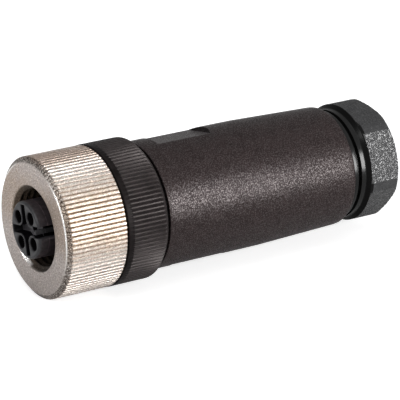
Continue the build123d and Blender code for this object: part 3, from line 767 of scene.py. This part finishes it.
milling = flats_tree()
sleeve_plastic = sleeve_skin()
sleeve = outline("sleeve_body", [
    (SLEEVE_FRONT, SEAL_STEP_R), (SLEEVE_FRONT, SLEEVE_R, 0.15), (FLAT_FRONT, SLEEVE_R),
    (FLAT_FRONT + 0.02, SLEEVE_R), (FLAT_REAR - 0.90, SLEEVE_R, 0, 0.5),
    (FLAT_REAR + 0.10, SLEEVE_R, 0, 0.06), (TAPER_START, SLEEVE_R, 0.8, 1.0),
    (SLEEVE_REAR, 8.68, 0.75, 1.0), (SLEEVE_REAR, 7.55),
    (48.85, REAR_THREAD_R), (SEAT_REAR, REAR_THREAD_R, 0, 0.14), (SEAT_REAR, SEAT_R), (WEB_REAR, SEAT_R),
    (WEB_REAR, WEB_HOLE_R), (WEB_FRONT, WEB_HOLE_R), (WEB_FRONT, CHAMBER_R), (CHAMBER_FRONT, CHAMBER_R),
    (CHAMBER_FRONT, FRONT_THREAD_R), (SEAL_STEP_END, FRONT_THREAD_R, 0, 0.11), (SEAL_STEP_END, SEAL_STEP_R)])
machined(sleeve, turning, Segments=ROUND_STEPS, Material=sleeve_plastic)
machined(sleeve, milling, Count=2, Turn=ROLL + 90, Distance=FLAT_DISTANCE, Body_radius=SLEEVE_R,
         Front=FLAT_FRONT + 0.01, Cone=0.001, Rear=FLAT_REAR, Slope=FLAT_RUNOUT, Material=sleeve_plastic)
machined(sleeve, threading, Side=1.0, Surface_radius=FRONT_THREAD_R, Depth=0.50, Pitch=1.0,
         Front=SEAL_STEP_END, Rear=24.95, Run_out=0.3, Material=sleeve_plastic)
machined(sleeve, threading, Side=1.0, Surface_radius=REAR_THREAD_R, Depth=0.70, Pitch=1.5,
         Front=SEAT_REAR, Rear=48.9, Run_out=0.3, Material=sleeve_plastic)
fitted(sleeve, "housing_sleeve", "sleeve", SOFT_EDGE)

# Cable seal
# A soft rubber bush with ribs inside. The clamp cage pushes it against the web in the
# sleeve, and it closes round the cable.
dress("cable_seal", seal_rubber("bush_rubber", 0.14))

# Clamp cage
# Natural nylon, slotted into eight fingers. The cone in the gland nut bends them inwards
# until they bite on the cable's jacket.
CAGE_DARK = (0.50, 0.50, 0.45, 1)
CAGE_LIGHT = (0.68, 0.67, 0.61, 1)

dress("clamp_cage", smooth_plastic("cage_plastic", CAGE_DARK, CAGE_LIGHT, shine=0.4, smoothest=0.34))

# Gland nut
# The pressing screw at the cable end, moulded in dark nylon. Its boss screws into the
# sleeve, two thin rims and a smooth collar stay outside, and a spanner takes the hexagon.
GLAND_DARK = (0.026, 0.026, 0.027, 1)
GLAND_LIGHT = (0.036, 0.036, 0.037, 1)
GLAND_GRAIN = 0.21
COLLAR_BLACK = (0.004, 0.004, 0.004, 1)
COLLAR_SHINE = 0.05
RIM_SHINE = 0.20
SMOOTH_ROUGHNESS = 0.22
SMOOTH_RELIEF = 0.03     # how much of the grain's relief the smooth parts have
GLAND_FRONT = 42.00
GLAND_HOLLOW_R = 6.10
GLAND_BORE_R = 3.60
GLAND_REAR = 57.20
BOSS_R = 7.20
RIM_FRONTS = (49.25, 50.50)
RIM_LENGTH = 0.72
RIM_ROUNDING = 0.09
RIM_R = 8.02
RIM_FLOOR_R = 7.55
COLLAR_FRONT = 51.78
HEX_FRONT = 51.83
COLLAR_END = 52.25
HEX_REAR = 56.50
HEX_R = 8.60
HEX_DISTANCE = 7.78
HEX_TURN = 20.0


def gland_skin():
    """Grained dark grey on the hexagon, smooth black on the rims and the collar in front of it."""
    material = eroded_plastic("gland_plastic", GLAND_DARK, GLAND_LIGHT, shine=0.14, grain=GLAND_GRAIN,
                              depth=0.060, sparkle=3.6, polish=0.20)
    tree, shader, place = opened(material)
    x = station(tree, place)[0]
    grained = between(tree, x, 0, 1, COLLAR_END - 0.05, COLLAR_END + 0.05)
    colour = blend_colours(tree, grained, COLLAR_BLACK, joined_to(shader, "Base Color"))
    tree.links.new(colour, shader.inputs["Base Color"])
    rims_end = RIM_FRONTS[1] + RIM_LENGTH
    smooth_shine = between(tree, x, RIM_SHINE, COLLAR_SHINE, rims_end, rims_end + 0.08)
    for name, smooth in (("Specular IOR Level", smooth_shine), ("Roughness", SMOOTH_ROUGHNESS)):
        change = math(tree, "SUBTRACT", joined_to(shader, name), smooth)
        value = math(tree, "ADD", smooth, math(tree, "MULTIPLY", grained, change))
        tree.links.new(value, shader.inputs[name])
    tree.links.new(between(tree, grained, SMOOTH_RELIEF, 1, 0, 1), tree.nodes["Bump"].inputs["Strength"])
    return material


gland_plastic = gland_skin()
gland = outline("gland_body", [
    (GLAND_FRONT, GLAND_HOLLOW_R), (GLAND_FRONT, 6.90), (42.30, BOSS_R), (RIM_FRONTS[0], BOSS_R, 0, 0.14),
    (RIM_FRONTS[0], RIM_R, RIM_ROUNDING), (RIM_FRONTS[0] + RIM_LENGTH, RIM_R, RIM_ROUNDING),
    (RIM_FRONTS[0] + RIM_LENGTH, RIM_FLOOR_R), (RIM_FRONTS[1], RIM_FLOOR_R),
    (RIM_FRONTS[1], RIM_R, RIM_ROUNDING), (RIM_FRONTS[1] + RIM_LENGTH, RIM_R, RIM_ROUNDING),
    (COLLAR_FRONT, HEX_R, 0.10), (HEX_FRONT, HEX_R), (HEX_FRONT + 0.02, HEX_R),
    (COLLAR_END, HEX_R, 0, 0.05), (HEX_REAR, HEX_R, 0.40, 0.5), (GLAND_REAR, 7.70, 0.45),
    (GLAND_REAR, 4.60), (56.20, GLAND_BORE_R), (49.80, GLAND_BORE_R), (49.80, 4.20),
    (46.60, GLAND_HOLLOW_R)])
machined(gland, turning, Segments=ROUND_STEPS, Material=gland_plastic)
machined(gland, milling, Count=6, Turn=HEX_TURN, Distance=HEX_DISTANCE, Body_radius=HEX_R,
         Front=HEX_FRONT + 0.01, Cone=COLLAR_END - HEX_FRONT, Rear=60, Slope=1, Material=gland_plastic)
machined(gland, threading, Side=-1.0, Surface_radius=BOSS_R, Depth=0.75, Pitch=1.5, Front=41.9, Rear=48.6,
         Run_out=0.5, Material=gland_plastic)
fitted(gland, "gland_nut", "gland", SOFT_EDGE)

# Studio
# The connector lies on a white table with white all round. A tall softbox stands at the
# front right, a small one at the left, and a wide one hangs overhead.
FLOOR_Z = -RING_R
CAMERA_AT = (-155.761, -292.380, 128.655)
CAMERA_AIM = (27.82, -0.436, -0.981)
LENS = 234.36
SENSOR = 36
FARTHEST = 10            # metres that the camera sees
FILL = 0.36              # how bright the white room is as a light
IN_FRONT = 0.9           # how bright the room in front of the table is in what is mirrored
BEHIND = 0.45            # the same behind the table
TABLE_DARK = (0.86, 0.86, 0.86, 1)
TABLE_LIGHT = (0.90, 0.90, 0.90, 1)
TABLE_HALF = 3000
SEEN_TABLE = 0.60        # light added to the table where the camera looks at it
MIRRORED_TABLE = 0.35    # the same where the nut mirrors the table behind it


def studio_world():
    """White to look at, dimmer as a light and in what is mirrored from behind."""
    world = bpy.data.worlds.new("studio")
    world.use_nodes = True
    tree = world.node_tree
    back = tree.nodes["Background"]
    back.inputs["Color"].default_value = (1, 1, 1, 1)
    ray = node(tree, "ShaderNodeLightPath").outputs
    towards = node(tree, "ShaderNodeTexCoord").outputs["Generated"]
    depth = node(tree, "ShaderNodeSeparateXYZ", {"Vector": towards}).outputs["Y"]
    mirrored = math(tree, "MAXIMUM", ray["Is Glossy Ray"], ray["Is Transmission Ray"])
    mirrored = math(tree, "MULTIPLY", mirrored, between(tree, depth, IN_FRONT, BEHIND, -0.3, 0.5))
    level = math(tree, "MAXIMUM", ray["Is Camera Ray"], math(tree, "MAXIMUM", mirrored, FILL))
    tree.links.new(level, back.inputs["Strength"])
    bpy.context.scene.world = world


def softbox(name, azimuth, elevation, distance, width, height, power):
    """A rectangular light that faces the connector's middle, placed around it as seen from in front."""
    light = bpy.data.lights.new(name, "AREA")
    light.shape = "RECTANGLE"
    light.size, light.size_y = width * MM, height * MM
    light.energy = power
    a, e = radians(azimuth), radians(elevation)
    back = Vector((sin(a) * cos(e), -cos(a) * cos(e), sin(e)))
    lamp = bpy.data.objects.new(name, light)
    lamp.location = (Vector(CAMERA_AIM) + back * distance) * MM
    lamp.rotation_euler = back.to_track_quat("Z", "Y").to_euler()
    bpy.context.scene.collection.objects.link(lamp)


def white_table():
    """A white table top that keeps the shadow under the connector."""
    material, tree, shader, place = finish_of("white_table", Roughness=0.9, Specular_IOR_Level=0.0)
    speck = between(tree, noise(tree, place, 6.0), 0, 1)
    tree.links.new(blend_colours(tree, speck, TABLE_DARK, TABLE_LIGHT), shader.inputs["Base Color"])
    shader.inputs["Emission Color"].default_value = (1, 1, 1, 1)
    ray = node(tree, "ShaderNodeLightPath").outputs
    back = node(tree, "ShaderNodeSeparateXYZ", {"Vector": place}).outputs["Y"]
    mirrored = between(tree, back, 0, MIRRORED_TABLE, 0, 20 * MM)
    mirrored = math(tree, "MULTIPLY", ray["Is Glossy Ray"], mirrored)
    glow = math(tree, "MAXIMUM", math(tree, "MULTIPLY", ray["Is Camera Ray"], SEEN_TABLE), mirrored)
    tree.links.new(glow, shader.inputs["Emission Strength"])
    mesh = bpy.data.meshes.new("table")
    half, floor = TABLE_HALF * MM, FLOOR_Z * MM
    corners = [(sx * half, sy * half, floor) for sx, sy in ((-1, -1), (1, -1), (1, 1), (-1, 1))]
    mesh.from_pydata(corners, [], [(0, 1, 2, 3)])
    mesh.materials.append(material)
    table = bpy.data.objects.new("table", mesh)
    bpy.context.scene.collection.objects.link(table)


studio_world()
white_table()
softbox("key", azimuth=30, elevation=4, distance=700, width=200, height=600, power=10.5)
softbox("left", azimuth=-81, elevation=35, distance=700, width=160, height=160, power=1.5)
softbox("overhead", azimuth=-20, elevation=78, distance=800, width=700, height=700, power=0.8)

lens = bpy.data.cameras.new("camera")
lens.sensor_width = SENSOR
lens.lens = LENS
lens.clip_end = FARTHEST
camera = bpy.data.objects.new("camera", lens)
camera.location = Vector(CAMERA_AT) * MM
camera.rotation_euler = (Vector(CAMERA_AT) - Vector(CAMERA_AIM)).to_track_quat("Z", "Y").to_euler()
bpy.context.scene.collection.objects.link(camera)
bpy.context.scene.camera = camera
bpy.context.scene.view_settings.view_transform = "Standard"
